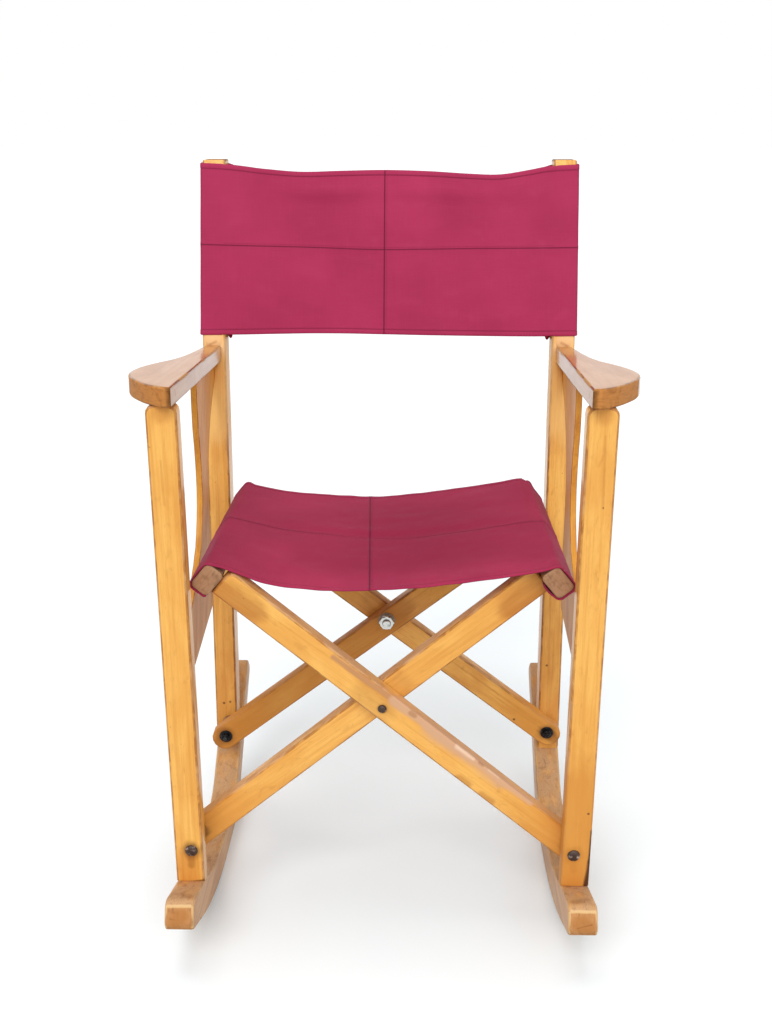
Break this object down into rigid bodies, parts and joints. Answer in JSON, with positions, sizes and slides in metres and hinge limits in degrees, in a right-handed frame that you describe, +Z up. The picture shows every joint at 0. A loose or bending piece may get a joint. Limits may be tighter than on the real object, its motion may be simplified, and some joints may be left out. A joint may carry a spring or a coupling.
{
  "type": "folding rocking chair",
  "caption": "Folding wooden armchair on rockers, with crossing bars under a hung cloth seat and a cloth back held between two posts.",
  "frame": {"origin": "on the floor, under the middle of the whole object's box", "axes": "+X across the chair, to the right as seen from its front; +Y from the front to the back; +Z up"},
  "size_m": [0.5756, 0.5386, 0.904],
  "materials": {
    "beech": "honey varnish, worn on the arrises",
    "brown_beech": "darker brown wood, thin varnish",
    "dark_steel": "blackened steel, dull",
    "zinc_steel": "zinc plated, slightly worn",
    "raspberry_cloth": "woven canvas, matt"
  },
  "bodies": {
    "left_frame": {"rocker_left": "beech", "front_leg_left": "beech", "rear_post_left": "beech", "armrest_left": "beech", "side_brace_left": "beech", "front_pivot_bolt_left": "dark_steel", "front_pivot_washer_left": "dark_steel", "front_pivot_nut_left": "dark_steel", "rear_pivot_bolt_left": "dark_steel", "rear_pivot_washer_left": "dark_steel", "rear_pivot_nut_left": "dark_steel", "front_spacer": "brown_beech", "rear_spacer": "brown_beech", "back_cloth": "raspberry_cloth"},
    "right_seat_frame": {"seat_rail_right": "brown_beech", "front_cross_bar_right": "beech", "rear_cross_bar_right": "beech", "seat_cloth": "raspberry_cloth"},
    "left_seat_frame": {"seat_rail_left": "brown_beech", "front_cross_bar_left": "beech", "rear_cross_bar_left": "beech", "front_centre_bolt": "dark_steel", "front_centre_washer": "zinc_steel", "front_centre_nut": "zinc_steel", "rear_centre_bolt": "zinc_steel", "rear_centre_washer": "zinc_steel", "rear_centre_nut": "zinc_steel"},
    "right_frame": {"rocker_right": "beech", "front_leg_right": "beech", "rear_post_right": "beech", "armrest_right": "beech", "side_brace_right": "beech", "front_pivot_bolt_right": "dark_steel", "front_pivot_washer_right": "dark_steel", "front_pivot_nut_right": "dark_steel", "rear_pivot_bolt_right": "dark_steel", "rear_pivot_washer_right": "dark_steel", "rear_pivot_nut_right": "dark_steel"}
  },
  "joints": [
    {"name": "left_lower_pivots", "type": "hinge", "parent": "left_frame", "child": "right_seat_frame", "pos_m": [-0.2297, 0, 0.121], "axis": [0, -1, 0], "range_deg": [0, 32], "deforming": ["seat_cloth", "back_cloth"]},
    {"name": "centre_pivots", "type": "hinge", "parent": "right_seat_frame", "child": "left_seat_frame", "pos_m": [0, 0, 0.30361], "axis": [0, -1, 0], "range_deg": [-64, 0]},
    {"name": "right_lower_pivots", "type": "hinge", "parent": "left_seat_frame", "child": "right_frame", "pos_m": [0.2297, 0, 0.121], "axis": [0, -1, 0], "range_deg": [0, 32]}
  ],
  "couplings": [
    {"joint": "centre_pivots", "follows": "left_lower_pivots", "ratio": -2},
    {"joint": "right_lower_pivots", "follows": "left_lower_pivots", "ratio": 1}
  ]
}
